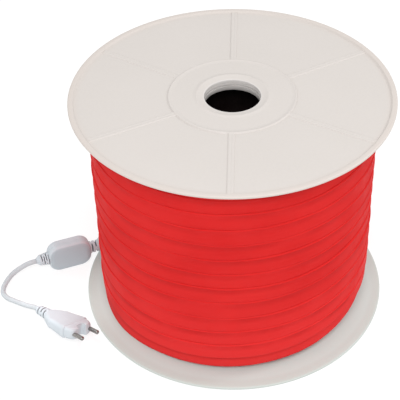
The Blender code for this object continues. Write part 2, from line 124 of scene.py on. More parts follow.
# Share of the climb at each angle in degrees: most at the right of the front
CLIMB_SHARES = {-180: 0.0, -145: 0.0, -125: 0.09, -110: 0.2, -90: 0.34, -70: 0.51, -55: 0.68,
                -40: 0.88, -25: 0.97, -10: 0.92, 10: 0.72, 40: 0.34, 80: 0.0, 180: 0.0}
TAIL_LEAVE_ANGLE = math.radians(151.5)
TAIL_BURIED_ANGLE = math.radians(9)
TAIL_BURIED_STEPS = 5
TAIL_BEND_STEPS = 24

# Adaptor, which stands on its long edge
ADAPTOR_CENTRE = Vector((-160.7 * MM, 25.4 * MM, 14.5 * MM))
ADAPTOR_HEADING = math.radians(21.5)
ADAPTOR_LENGTH = 42 * MM
ADAPTOR_HEIGHT = 29 * MM
ADAPTOR_THICKNESS = 14 * MM
ADAPTOR_CORNER = 11 * MM
ADAPTOR_BEVEL = 3 * MM
ADAPTOR_FACE_STEP = 0.3 * MM

# Sleeves on the adaptor, and how all sleeves are made
SLEEVE_SINK = 0.5 * MM
SLEEVE_POINTS = 181
RELIEF_LENGTH = 11.5 * MM
NECK_LENGTH = 11.5 * MM
NECK_HEIGHT = 11 * MM
NECK_THICKNESS = 8.4 * MM
SOCKET_LENGTH = 5.5 * MM
SOCKET_WALL = 1.2 * MM
SOCKET_DEPTH = 4.5 * MM

# Mains cord, with the route's points in metres
CORD_DIAMETER = 4.8 * MM
CORD_LEAD_OUT = 3.4 * MM
CORD_LEAD_IN = 5 * MM
CORD_SAMPLES_PER_SPAN = 6
CORD_RESOLUTION = 8
CORD_ROUTE = [
    (-0.2004, 0.0104, 0.0130),
    (-0.2074, 0.0076, 0.0100),
    (-0.2140, 0.0032, 0.0068),
    (-0.2186, -0.0038, 0.0042),
    (-0.2208, -0.0116, 0.0028),
    (-0.2197, -0.0190, 0.0025),
    (-0.2148, -0.0250, 0.0025),
    (-0.2072, -0.0293, 0.0025),
    (-0.1994, -0.0334, 0.0026),
    (-0.1932, -0.0366, 0.0033),
]

# Plug, which lies rolled on its relief and one long edge
PLUG_TIP = (-184.0 * MM, -41.6 * MM)
PLUG_HEADING = math.radians(-39.5)
PLUG_ROLL = math.radians(18)
PLUG_FRONT_THICKNESS = 13.7 * MM
PLUG_FRONT_WIDTH = 31 * MM
PLUG_SHOULDER_WIDTH = 25 * MM
PLUG_BACK_WIDTH = 15 * MM
PLUG_BODY_LENGTH = 43 * MM
PLUG_SHOULDER_AT = 11 * MM
PLUG_EDGE = 3.4 * MM
PLUG_FLOOR_TRIM = 0.32 * MM
PLUG_NOSE = 8 * MM
PLUG_BLOCK_LENGTH = 9.5 * MM
PLUG_BLOCK_WIDTH = 28 * MM
PLUG_BLOCK_STEP = 0.9 * MM
PLUG_RECESS_WIDTH = 9 * MM
PLUG_RECESS_DEPTH = 4.8 * MM
PLUG_RECESS_CORNER = 2 * MM
PLUG_SOFTENING = 0.8 * MM
PLUG_RELIEF_LENGTH = 17 * MM
PLUG_RELIEF_WIDTH = 12 * MM
PLUG_RELIEF_TIP = 8 * MM
PIN_DIAMETER = 4 * MM
PIN_LENGTH = 11 * MM
PIN_SPACING = 18.6 * MM
PIN_ROUND = 1.3 * MM
PIN_TIP_RADIUS = 0.3 * MM
PIN_SOCKET_DEPTH = 2.5 * MM


# Camera, floor and light

def make_camera():
    data = bpy.data.cameras.new("view_camera")
    camera = link_object("view_camera", data)
    back = Vector((0.0, -math.cos(CAMERA_ELEVATION), math.sin(CAMERA_ELEVATION)))
    level_right = Vector((1.0, 0.0, 0.0))
    level_up = back.cross(level_right)
    right = level_right * math.cos(CAMERA_ROLL) + level_up * math.sin(CAMERA_ROLL)
    up = level_up * math.cos(CAMERA_ROLL) - level_right * math.sin(CAMERA_ROLL)
    turn = Matrix((right, up, back)).transposed().to_4x4()
    camera.matrix_world = Matrix.Translation(CAMERA_AIM + back * CAMERA_DISTANCE) @ turn
    data.sensor_width = SENSOR_WIDTH
    data.lens = CAMERA_FOCAL_PIXELS / PHOTO_WIDTH * SENSOR_WIDTH
    data.shift_x = (PHOTO_WIDTH / 2 - CAMERA_CENTRE_PIXEL[0]) / PHOTO_WIDTH
    data.shift_y = (CAMERA_CENTRE_PIXEL[1] - PHOTO_WIDTH / 2) / PHOTO_WIDTH
    data.clip_start, data.clip_end = CAMERA_REACH
    bpy.context.scene.camera = camera


def make_floor():
    bm = bmesh.new()
    bmesh.ops.create_grid(bm, x_segments=1, y_segments=1, size=FLOOR_HALF_SIDE)
    bmesh.ops.translate(bm, verts=bm.verts, vec=(0.0, 0.0, -TOUCH_GAP))
    floor = link_mesh("floor", bm)
    material, shader = principled("pale_floor")
    for name, value in (("Base Color", (FLOOR_TONE, FLOOR_TONE, FLOOR_TONE, 1.0)),
                        ("Roughness", 0.9), ("Specular IOR Level", 0.0),
                        ("Emission Color", WHITE), ("Emission Strength", FLOOR_GLOW)):
        shader.inputs[name].default_value = value
    dress(floor, material)


def link_light(name, kind, place, aim, power):
    """Link a light that looks from its place at its aim, and return its data."""
    data = bpy.data.lights.new(name, kind)
    data.energy = power
    light = link_object(name, data)
    light.location = place
    light.rotation_euler = (Vector(aim) - Vector(place)).to_track_quat("-Z", "Y").to_euler()
    return data


def make_lights():
    world = bpy.data.worlds.new("studio")
    world.use_nodes = True
    background = world.node_tree.nodes["Background"]
    background.inputs["Color"].default_value = WHITE
    background.inputs["Strength"].default_value = WORLD_STRENGTH
    bpy.context.scene.world = world
    bpy.context.scene.view_settings.view_transform = "Standard"
    for name, (place, aim, size, power) in AREA_LIGHTS.items():
        data = link_light(name, "AREA", place, aim, power)
        data.shape = "DISK"
        data.size = size
    place, aim, spread, power = PLUG_LIGHT
    data = link_light("plug_light", "SPOT", place, aim, power)
    data.spot_size = spread
    data.spot_blend = PLUG_LIGHT_BLEND
    data.shadow_soft_size = PLUG_LIGHT_SIZE


# Mesh helpers

def link_object(name, data):
    item = bpy.data.objects.new(name, data)
    bpy.context.scene.collection.objects.link(item)
    return item


def evaluated_mesh(item):
    """The object's mesh with its modifiers applied."""
    evaluated = item.evaluated_get(bpy.context.evaluated_depsgraph_get())
    return bpy.data.meshes.new_from_object(evaluated)


def link_mesh(name, bm, crisp=None):
    """Link a bmesh as an object at the origin, shaded smooth up to an edge angle."""
    bmesh.ops.recalc_face_normals(bm, faces=bm.faces)
    mesh = bpy.data.meshes.new(name)
    bm.to_mesh(mesh)
    bm.free()
    if crisp is not None:
        mesh.shade_smooth()
        mesh.set_sharp_from_angle(angle=crisp)
    return link_object(name, mesh)


def skin_rings(rings, closed=False):
    """Join equal rings of points, as a closed loop of rings or with a cap at each end."""
    bm = bmesh.new()
    loops = [[bm.verts.new(point) for point in ring] for ring in rings]
    count = len(loops)
    for index in range(count if closed else count - 1):
        here = loops[index]
        there = loops[(index + 1) % count]
        for corner in range(len(here)):
            following = (corner + 1) % len(here)
            bm.faces.new((here[corner], here[following], there[following], there[corner]))
    if not closed:
        bm.faces.new(list(reversed(loops[0])))
        bm.faces.new(loops[-1])
    return bm


def rounded_rectangle(width, height, corner, steps):
    points = []
    for quarter in range(4):
        centre_x = (width / 2 - corner) * (1 if quarter in (0, 3) else -1)
        centre_y = (height / 2 - corner) * (1 if quarter in (0, 1) else -1)
        for step in range(steps + 1):
            angle = math.pi / 2 * (quarter + step / steps)
            points.append((centre_x + corner * math.cos(angle),
                           centre_y + corner * math.sin(angle)))
    return points


def quarter_curve(steps):
    """Points of a quarter circle: what is left of the way to its end, and how far it turned in."""
    angles = [math.pi / 2 * step / steps for step in range(steps + 1)]
    return [(1 - math.sin(angle), 1 - math.cos(angle)) for angle in angles]


def section_rings(matrix, sections):
    """Rings of rounded rectangles at distances along a piece, from each section's sizes."""
    return [[matrix @ Vector((distance, b, c)) for b, c in rounded_rectangle(*sizes)]
            for distance, *sizes in sections]


def heading_matrix(origin, heading, pitch=0.0, roll=0.0):
    """Matrix that takes (along, across, up) lengths of a piece into the world."""
    level = math.cos(pitch)
    along = Vector((math.cos(heading) * level, math.sin(heading) * level, math.sin(pitch)))
    level_across = Vector((-math.sin(heading), math.cos(heading), 0.0))
    level_up = along.cross(level_across)
    across = level_across * math.cos(roll) - level_up * math.sin(roll)
    up = level_up * math.cos(roll) + level_across * math.sin(roll)
    return Matrix.Translation(Vector(origin)) @ Matrix((along, across, up)).transposed().to_4x4()


def dress(item, material):
    item.data.materials.clear()
    item.data.materials.append(material)


def finish_piece(item, material, slot, *nodes):
    """Give a piece its material and let it ride for the CAD nodes it stands for; the slot is not
    used.
    """
    if material is not None:
        dress(item, material)
    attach(item, ROOT)
    if nodes:
        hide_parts(*nodes)
    return item


# Node helpers

class Field:
    """A value in a node tree. In a Geometry Nodes tree it also takes plain arithmetic."""

    def __init__(self, tree, socket):
        self.tree = tree
        self.socket = socket

    def __add__(self, other):
        return self.tree.math("ADD", self, other)

    def __sub__(self, other):
        return self.tree.math("SUBTRACT", self, other)

    def __rsub__(self, other):
        return self.tree.math("SUBTRACT", other, self)

    def __mul__(self, other):
        return self.tree.math("MULTIPLY", self, other)

    def __truediv__(self, other):
        return self.tree.math("DIVIDE", self, other)

    def __rtruediv__(self, other):
        return self.tree.math("DIVIDE", other, self)

    def __lt__(self, other):
        return self.tree.math("LESS_THAN", self, other)

    def __gt__(self, other):
        return self.tree.math("GREATER_THAN", self, other)

    def __abs__(self):
        return self.tree.math("ABSOLUTE", self)


class Nodes:
    """A node tree, with a short way to add a node and fill its sockets."""

    def __init__(self, tree):
        self.tree = tree

    def feed(self, socket, value):
        if isinstance(value, Field):
            self.tree.links.new(value.socket, socket)
        else:
            socket.default_value = value

    def add(self, kind, output, sockets=None, **settings):
        node = self.tree.nodes.new(kind)
        for key, value in settings.items():
            setattr(node, key, value)
        for key, value in (sockets or {}).items():
            self.feed(node.inputs[key], value)
        return Field(self, node.outputs[output])


class NodeTree(Nodes):
    """A Geometry Nodes tree, with short ways to add its nodes."""

    def __init__(self, name, integers, numbers):
        super().__init__(bpy.data.node_groups.new(name, "GeometryNodeTree"))
        sockets = [("Geometry", "Geometry")] + [(label, "Int") for label in integers]
        sockets += [(label, "Float") for label in numbers]
        interface = self.tree.interface
        for label, kind in sockets:
            interface.new_socket(label, in_out="INPUT", socket_type=f"NodeSocket{kind}")
        interface.new_socket("Geometry", in_out="OUTPUT", socket_type="NodeSocketGeometry")
        inputs = self.tree.nodes.new("NodeGroupInput").outputs
        self.given = {label: Field(self, inputs[label]) for label, _ in sockets}
        self.result = self.tree.nodes.new("NodeGroupOutput").inputs["Geometry"]

    def math(self, operation, *values):
        sockets = dict(enumerate(values))
        return self.add("ShaderNodeMath", 0, sockets, operation=operation)

    def ramp(self, value, low, high):
        """Smooth step of a value from 0 at low to 1 at high."""
        sockets = {"Value": value, "From Min": low, "From Max": high}
        return self.add("ShaderNodeMapRange", "Result", sockets, interpolation_type="SMOOTHSTEP")

    def signed_power(self, value, power):
        return self.math("SIGN", value) * self.math("POWER", abs(value), power)

    def vector(self, x, y, z):
        return self.add("ShaderNodeCombineXYZ", "Vector", {"X": x, "Y": y, "Z": z})

    def noise(self, x, y, z, detail=1.0):
        sockets = {"Vector": self.vector(x, y, z), "Scale": 1.0, "Detail": detail}
        return self.add("ShaderNodeTexNoise", 0, sockets)

    def place(self, geometry, x, y, z):
        sockets = {"Geometry": geometry, "Position": self.vector(x, y, z)}
        return self.add("GeometryNodeSetPosition", "Geometry", sockets)

    def keep(self, geometry, name, value):
        """Store a number on each point, to be read again further on."""
        sockets = {"Geometry": geometry, "Name": name, "Value": value}
        return self.add("GeometryNodeStoreNamedAttribute", "Geometry", sockets,
                        data_type="FLOAT", domain="POINT")

    def kept(self, name):
        return self.add("GeometryNodeInputNamedAttribute", "Attribute", {"Name": name},
                        data_type="FLOAT")

    def tube_grid(self, around, along):
        """Grid to be bent into a closed shape, and its X and Y, which run from -pi to pi."""
        grid = self.add("GeometryNodeMeshGrid", "Mesh", {
            "Size X": math.tau, "Size Y": math.tau, "Vertices X": along, "Vertices Y": around})
        at = {"Vector": self.add("GeometryNodeInputPosition", "Position")}
        x = self.add("ShaderNodeSeparateXYZ", "X", at)
        y = self.add("ShaderNodeSeparateXYZ", "Y", at)
        return grid, x, y

    def end(self, geometry, material):
        """Weld the shape's seams and give it to the tree's output."""
        for kind, sockets in (("GeometryNodeMergeByDistance", {"Distance": WELD_DISTANCE}),
                              ("GeometryNodeRealizeInstances", {}),
                              ("GeometryNodeSetShadeSmooth", {}),
                              ("GeometryNodeSetMaterial", {"Material": material})):
            geometry = self.add(kind, "Geometry", {"Geometry": geometry, **sockets})
        self.tree.links.new(geometry.socket, self.result)
        return self.tree


def grow(name, tree, values, matrix=None):
    """Run a tree with these input values and keep the result as a plain mesh object."""
    carrier = bpy.data.objects.new(f"{name}_carrier", bpy.data.meshes.new(f"{name}_carrier"))
    bpy.context.scene.collection.objects.link(carrier)
    modifier = carrier.modifiers.new("tree", "NODES")
    modifier.node_group = tree
    for socket in tree.interface.items_tree:
        if socket.in_out == "INPUT" and socket.name in values:
            modifier[socket.identifier] = values[socket.name]
    bpy.context.view_layer.update()
    mesh = evaluated_mesh(carrier)
    bpy.data.objects.remove(carrier, do_unlink=True)
    mesh.name = name
    if matrix is not None:
        mesh.transform(matrix)
    bm = bmesh.new()
    bm.from_mesh(mesh)
    bmesh.ops.recalc_face_normals(bm, faces=bm.faces)
    bm.to_mesh(mesh)
    bm.free()
    return link_object(name, mesh)


# Materials

OUTWARDS = (1.0, 1.0, 0.0)
UPWARDS = (0.0, 0.0, 1.0)
# Socket numbers of a mix node's two colours and of its mixed colour
MIX_FIRST, MIX_SECOND, MIX_RESULT = 6, 7, 2
# Flange plastic: darker and lighter clouds, grain and rim. The same plastic comes in two painted
# tints. A green-grey painted shade for the lower flange works against the red light thrown on it
# from the winding. A warm painted light is for the lit upper flange. The rim tone is darker, a
# painted shade that evens the light towards the rim.
SHADED_FLANGE_WHITES = ((0.545, 0.635, 0.608), (0.562, 0.65, 0.622), (0.575, 0.665, 0.635),
              (0.51, 0.55, 0.52))
LIT_FLANGE_WHITES = ((0.553, 0.517, 0.488), (0.573, 0.535, 0.507), (0.593, 0.556, 0.527),
              (0.57, 0.518, 0.482))
# Painted light: lighter tone of the bore wall, in place of light falling into the bore
BORE_PAINTED_LIGHT = (0.6, 0.57, 0.55)


def principled(name):
    material = bpy.data.materials.new(name)
    material.use_nodes = True
    return material, material.node_tree.nodes["Principled BSDF"]


class Finish(Nodes):
    """A material's node tree, with short ways to add what varies over the surface."""

    def __init__(self, name, roughness, specular=0.5, metallic=0.0):
        self.material, shader = principled(name)
        super().__init__(self.material.node_tree)
        self.inputs = shader.inputs
        self.set("Roughness", roughness)
        self.set("Specular IOR Level", specular)
        self.set("Metallic", metallic)
        self.coordinates = self.add("ShaderNodeTexCoord", "Object")

    def set(self, name, value):
        self.feed(self.inputs[name], value)

    def noise(self, scale, detail=3.0, stretch=None):
        source = self.coordinates
        if stretch is not None:
            source = self.add("ShaderNodeMapping", "Vector", {"Vector": source, "Scale": stretch})
        sockets = {"Vector": source, "Scale": scale, "Detail": detail}
        return self.add("ShaderNodeTexNoise", "Fac", sockets)

    def axes_ramp(self, axes, near, far):
        """Rises from 0 to 1 as the distance out along these axes goes from near to far."""
        masked = self.add("ShaderNodeVectorMath", "Vector", {0: self.coordinates, 1: axes},
                          operation="MULTIPLY")
        length = self.add("ShaderNodeVectorMath", "Value", {0: masked}, operation="LENGTH")
        sockets = {"Value": length, "From Min": near, "From Max": far}
        return self.add("ShaderNodeMapRange", "Result", sockets)

    def attribute(self, name):
        return self.add("ShaderNodeAttribute", "Fac", attribute_name=name)

    def between(self, factor, low, high):
        """Spread the middle of a noise's range over low to high."""
        sockets = {"Value": factor, "From Min": 0.3, "From Max": 0.7, "To Min": low, "To Max": high}
        return self.add("ShaderNodeMapRange", "Result", sockets)

    def blend(self, factor, *tones):
        """Mix two tones, each a field or a plain colour."""
        first, second = [tone if isinstance(tone, Field) else (*tone, 1.0) for tone in tones]
        sockets = {"Factor": factor, MIX_FIRST: first, MIX_SECOND: second}
        return self.add("ShaderNodeMix", MIX_RESULT, sockets, data_type="RGBA")

    def patches(self, scale, first, second, detail=3.0, most=1.0):
        """Mix two tones in soft patches."""
        factor = self.between(self.noise(scale, detail), 0.0, most)
        return self.blend(factor, first, second)

    def roughen(self, scale, low, high):
        self.set("Roughness", self.between(self.noise(scale), low, high))

    def bump(self, scale, strength, distance, below=None, detail=2.0, stretch=None):
        height = self.noise(scale, detail, stretch)
        sockets = {"Strength": strength, "Distance": distance, "Height": height}
        if below is not None:
            sockets["Normal"] = below
        normal = self.add("ShaderNodeBump", "Normal", sockets)
        self.set("Normal", normal)
        return normal


def reel_plastic(name, dark, light, grain, rim):
    """Off-white moulded polystyrene: cloudy tone, flow marks and a fine satin grain, with a tint
    given per flange as painted light or painted shade, a darker rim tone as painted shade and a
    lighter bore wall as painted light.
    """
    finish = Finish(name, 0.42, specular=0.3)
    tone = finish.patches(9.0, dark, light, detail=4.0)
    tone = finish.patches(420.0, tone, grain, detail=2.0, most=0.35)
    # Painted shade: the darker rim tone comes in over the outer 10 mm, so that the light stays even
    # up to the rim
    to_rim = finish.axes_ramp(OUTWARDS, FLANGE_RADIUS - 10 * MM, FLANGE_RADIUS - 2 * MM)
    tone = finish.blend(to_rim, tone, rim)
    # Painted light: the bore wall and the first millimetre round it take the lighter bore tone
    bore_light_mask = finish.axes_ramp(OUTWARDS, HUB_BORE_RADIUS + 0.95 * MM,
                                 HUB_BORE_RADIUS + 1.0 * MM)
    finish.set("Base Color", finish.blend(bore_light_mask, BORE_PAINTED_LIGHT, tone))
    finish.roughen(60.0, 0.36, 0.5)
    waves = finish.bump(14.0, 0.2, 0.4 * MM)
    finish.bump(900.0, 0.1, 0.05 * MM, below=waves)
    return finish.material


def flex_jacket():
    """Red translucent jacket, a little different from turn to turn, with soft extrusion streaks,
    painted light that makes it lighter near the bottom, and painted shade under the lip of each
    turn.
    """
    finish = Finish("flex_jacket", 0.6, specular=0.02)
    tone = finish.patches(16.0, (0.545, 0.018, 0.018), (0.615, 0.025, 0.024))
    streaks = finish.between(finish.noise(30.0, stretch=(1.0, 1.0, 14.0)), 0.0, 1.0)
    tone = finish.blend(finish.between(streaks, 0.0, 0.5), tone, (0.585, 0.022, 0.022))
    # Painted light: the red is lighter low on the winding and fades to the plain tone from 10 mm to
    # 90 mm up
    painted_light_fade = finish.axes_ramp(UPWARDS, 10 * MM, 90 * MM)
    tone = finish.blend(painted_light_fade, (0.66, 0.032, 0.032), tone)
    # Painted shade under each turn's lip
    tone = finish.blend(finish.attribute("painted_shade_below_lip"), tone, (0.48, 0.017, 0.017))
    finish.set("Base Color", tone)
    finish.roughen(45.0, 0.5, 0.7)
    finish.set("Subsurface Weight", 0.25)
    finish.set("Subsurface Radius", (1.0, 0.12, 0.1))
    finish.set("Subsurface Scale", 2.5 * MM)
    grain = finish.bump(90.0, 0.25, 0.15 * MM, detail=3.0, stretch=(1.0, 1.0, 6.0))
    finish.bump(700.0, 0.1, 0.05 * MM, below=grain)
    return finish.material


def lead_plastic():
    """Cool white flexible moulding of the adaptor, reliefs and plug, with painted shade on the
    adaptor's wide faces and in the sleeves' slits.
    """
    finish = Finish("lead_plastic", 0.5, specular=0.08)
    tone = finish.patches(70.0, (0.505, 0.545, 0.578), (0.535, 0.575, 0.608))
    # Painted shade: the adaptor's wide faces are a darker grey
    tone = finish.blend(finish.attribute("wide_face_painted_shade"), tone, (0.405, 0.465, 0.498))
    # Painted shade: the slits of the sleeves are nearly black
    finish.set("Base Color", finish.blend(finish.attribute("painted_slit_shade"), tone, (0.1, 0.105, 0.11)))
    finish.roughen(160.0, 0.38, 0.55)
    waves = finish.bump(110.0, 0.2, 0.12 * MM)
    finish.bump(1500.0, 0.15, 0.03 * MM, below=waves)
    return finish.material


def cord_jacket():
    """Soft white jacket of the mains cord."""
    finish = Finish("cord_jacket", 0.5, specular=0.15)
    finish.set("Base Color", finish.patches(90.0, (0.46, 0.49, 0.51), (0.495, 0.525, 0.545)))
    finish.roughen(200.0, 0.36, 0.5)
    finish.bump(380.0, 0.2, 0.08 * MM)
    return finish.material


def pin_metal():
    """Nickel-plated brass, with fine turning marks and dull patches."""
    finish = Finish("pin_metal", 0.28, metallic=1.0)
    finish.set("Base Color", finish.patches(260.0, (0.22, 0.21, 0.2), (0.34, 0.325, 0.315)))
    finish.roughen(900.0, 0.22, 0.4)
    finish.bump(1800.0, 0.15, 0.03 * MM)
    return finish.material


def barrel_plastic():
    """Tube inside the winding, coloured near black as painted shade for the dark inside of the reel.
    """
    finish = Finish("barrel_plastic", 0.6, specular=0.2)
    tone = finish.patches(40.0, (0.005, 0.0022, 0.002), (0.008, 0.0035, 0.003))
    finish.set("Base Color", tone)
    finish.roughen(80.0, 0.5, 0.75)
    finish.bump(120.0, 0.2, 0.2 * MM)
    return finish.material


# Reel

def lateral_lines():
    """Distances from a rib's middle, with the rib's height there as a share of its rise."""
    half = RIB_WIDTH / 2
    side = [(half + RIB_WALL, 0.0), (half, 0.85), (half - RIB_WALL, 1.0), (0.5 * MM, 1.0),
            (0.25 * MM, 0.9)]
    left = [(-across, share) for across, share in side]
    return left + [(0.0, 0.75)] + side[::-1]


def spoke_angles(radius, lines):
    """Angles round the flange at one radius: each rib's lines, then even steps to the next."""
    span = math.tau / RIB_COUNT
    edge = math.asin(lines[-1][0] / radius)
    step = (span - 2 * edge) / FLANGE_FIELD_STEPS
    angles = []
    for number in range(RIB_COUNT):
        middle = math.pi / 2 + RIB_TURN + span * number
        angles += [middle + math.asin(across / radius) for across, _ in lines]
        angles += [middle + edge + step * count for count in range(1, FLANGE_FIELD_STEPS)]
    return angles


def flange_stations():
    """Radius, depth below the lip and share of rib height down the flange's turned outline.

    Each run has a radius and a depth to start from, a share of rib height, and its points'
    offsets from that radius and depth in millimetres.
    """
    face = LIP_RISE - RIB_RISE
    floor = face + DISH
    bead = floor - HUB_BEAD
    lip = FLANGE_RADIUS - LIP_WIDTH
    edge, inner = FLANGE_RADIUS, PLATE_INNER_DEPTH
    bore, ring, disc = HUB_BORE_RADIUS, HUB_RING_RADIUS, HUB_DISC_RADIUS
    wall = SPIGOT_RADIUS - SPIGOT_WALL
    runs = [
        (bore, 0, 0, [(0, 3.5), (0.1, 3.25), (0.3, 3.1), (0.9, 3.0)]),
        (ring, 0, 0, [(-1.2, 2.15)]),
        (ring, face, 0, [(-0.6, 0.95), (0, 0.85), (0.5, 0.95)]),
        (ring, floor, 0, [(0.9, 0), (4, 0)]),
        (disc, floor, 0, [(-4, 0), (-1, 0)]),
        (disc, bead, 0, [(-0.4, 0.12), (0, 0), (0.6, 0)]),
        (disc, bead, 0.2, [(1.0, 0.12)]),
        (disc, LIP_RISE + DISH, 1, [(1.6, 0)]),
        (disc, LIP_RISE + 0.97 * DISH, 1, [(2.6, 0)]),
        (disc, LIP_RISE + 0.73 * DISH, 1, [(20, 0)]),
        (disc, LIP_RISE + 0.33 * DISH, 1, [(50, 0)]),
        (lip, LIP_RISE, 1, [(-3, 0), (-1.2, 0)]),
        (lip, LIP_RISE, 0.7, [(-0.9, -0.1)]),
        (lip, 0, 0, [(-0.1, 0.35), (0.25, 0.07), (0.8, 0)]),
        (edge, 0, 0, [(-1.6, 0), (-0.8, 0.08), (-0.25, 0.4), (0, 1.0)]),
        (edge, RIM_THICKNESS, 0, [(0, -0.8), (-0.3, -0.25), (-1.0, 0.05)]),
        (edge, 0, 0, [(-2.4, 3.2)]),
        (edge, inner, 0, [(-4.4, -0.1), (-6.5, 0)]),
        (SPIGOT_RADIUS, inner, 0, [(4, 0), (0, 0)]),
        (SPIGOT_RADIUS, SPIGOT_DEPTH, 0, [(0, -0.4), (-0.4, 0)]),
        (wall, SPIGOT_DEPTH, 0, [(0.4, 0), (0, -0.4)]),
        (wall, inner, 0, [(0, 0)]),
        (COLLAR_RADIUS, inner, 0, [(0, 0)]),
        (COLLAR_RADIUS, COLLAR_DEPTH, 0, [(0, -0.5), (-0.5, 0)]),
        (bore, COLLAR_DEPTH, 0, [(0.5, 0), (0, -0.5)]),
        (bore, 0, 0, [(0, 9.4), (0.9, 9.3), (0.9, 8.4), (0, 8.3),
                      (0, 6.4), (0.4, 6.3), (0.4, 5.8), (0, 5.7)]),
    ]
    return [(radius + outwards * MM, depth + below * MM, share)
            for radius, depth, share, points in runs for outwards, below in points]


def make_flange(name, lip_height, inward, material, node):
    """One flange, turned about the reel's axis, with its ribs raised from the sunk panels."""
    lines = lateral_lines()
    between = [0.0] * (FLANGE_FIELD_STEPS - 1)
    shares = ([share for _, share in lines] + between) * RIB_COUNT
    rings = []
    for radius, depth, rib_share in flange_stations():
        ring = []
        for angle, share in zip(spoke_angles(radius, lines), shares):
            height = lip_height + inward * (depth - RIB_RISE * share * rib_share)
            ring.append((radius * math.cos(angle), radius * math.sin(angle), height))
        rings.append(ring)
    item = link_mesh(name, skin_rings(rings, closed=True), crisp=CRISP_ANGLE)
    return finish_piece(item, material, "reel_plastic", node)


# Wound flex

def climb_curve(tree, angle):
    """How far the flex climbs at each angle round the reel, from 0 to 1."""
    node = tree.tree.nodes.new("ShaderNodeFloatCurve")
    curve = node.mapping.curves[0]
    keys = [((degrees + 180) / 360, share) for degrees, share in CLIMB_SHARES.items()]
    curve.points[0].location = keys[0]
    curve.points[1].location = keys[-1]
    for key in keys[1:-1]:
        curve.points.new(*key)
    node.mapping.update()
    tree.feed(node.inputs["Value"], angle * (1 / math.tau) + 0.5)
    return Field(tree, node.outputs["Value"])


def wound_rings_tree(material):
    """Turns of flex above each other: a soft-edged section swept round, each a little uneven."""
    tree = NodeTree("wound_rings", ("Count", "Around"), (
        "Rise", "First Height", "Growth", "Radius", "Thickness", "Height", "Squareness",
        "Edge Lip", "Climb", "Spread", "Bulge", "Sway", "Low", "High", "Lowest Step",
        "Lowest Sink", "Lowest Round", "Seed"))
    given = tree.given
    grid, x, y = tree.tube_grid(SECTION_POINTS, given["Around"])
    grid = tree.keep(grid, "angle", x)
    grid = tree.keep(grid, "side", tree.math("SINE", y))
    grid = tree.keep(grid, "outer", tree.math("COSINE", y))
    line = tree.add("GeometryNodeMeshLine", "Mesh", {
        "Count": given["Count"], "Start Location": tree.vector(0.0, 0.0, given["First Height"]),
        "Offset": tree.vector(0.0, 0.0, given["Rise"])})
    line = tree.keep(line, "turn", tree.add("GeometryNodeInputIndex", "Index"))
    rings = tree.add("GeometryNodeInstanceOnPoints", "Instances",
                     {"Points": line, "Instance": grid})
    rings = tree.add("GeometryNodeRealizeInstances", "Geometry", {"Geometry": rings})

    angle, side, outer, turn = map(tree.kept, ("angle", "side", "outer", "turn"))
    east = tree.math("COSINE", angle)
    north = tree.math("SINE", angle)
    lowest = turn < 0.5
    middle = turn * given["Rise"] + given["First Height"]

    # The section: a squared oval with a small lip along its upper outer edge
    below = lowest * (side < 0.0)
    power = below * given["Lowest Round"] + 2.0 / given["Squareness"]
    level = tree.signed_power(side, power)
    outside = outer > 0.0
    lip = tree.ramp(level, 0.5, 0.93) * (outside * given["Edge Lip"])
    across = tree.signed_power(outer, power) * (given["Thickness"] * 0.5) + lip
    height = level * (given["Height"] * 0.5) + middle

    # Painted shade under the lip, which comes and goes along each turn
    under = tree.ramp(level, 0.0, 0.7) * (1.0 - tree.ramp(level, 0.86, 0.93))
    patch = tree.noise(turn * 3.7 + east * 2.5, north * 2.5, given["Seed"], detail=2.0)
    strength = tree.ramp(patch, 0.3, 0.62) * BELOW_LIP_SHADE_STRENGTH
    rings = tree.keep(rings, "painted_shade_below_lip", under * outside * strength)

    # Each turn's own bulges, and the lowest turn further in at the front
    own = tree.noise(turn * 5.13 + east * 1.2, north * 1.2, given["Seed"])
    front = tree.ramp(angle, math.radians(-152), math.radians(-118))
    front = front * (1.0 - tree.ramp(angle, 0.0, math.radians(60)))
    front = front * (tree.ramp(angle, math.radians(-80), math.radians(-45)) * -0.33 + 1.0)
    sink = front * given["Lowest Sink"] + given["Lowest Step"]
    outwards = (own - 0.5) * (given["Bulge"] * 2.0) - lowest * sink
    outwards = turn * given["Growth"] + outwards
    reach = given["Radius"] - given["Thickness"] * 0.5 + across + outwards

    # Climb at the right of the front, a wide gap at mid height, and a common sway
    share = (height - given["Low"]) / (given["High"] - given["Low"])
    top = 1.0 - tree.ramp(share, 0.88, 1.0)
    climb = given["Climb"] * (tree.ramp(share, 0.27, 0.7) * -0.45 + 1.0)
    climb = tree.ramp(share, 0.3, 0.42) * given["Spread"] + climb * climb_curve(tree, angle)
    common = tree.noise(east * 1.4, north * 1.4, share * 5.0 + given["Seed"])
    sway = (common - 0.5) * (given["Sway"] * 2.0)
    climb = sway * tree.ramp(share, 0.0, 0.15) + climb
    return tree.end(tree.place(rings, reach * east, reach * north, climb * top + height), material)


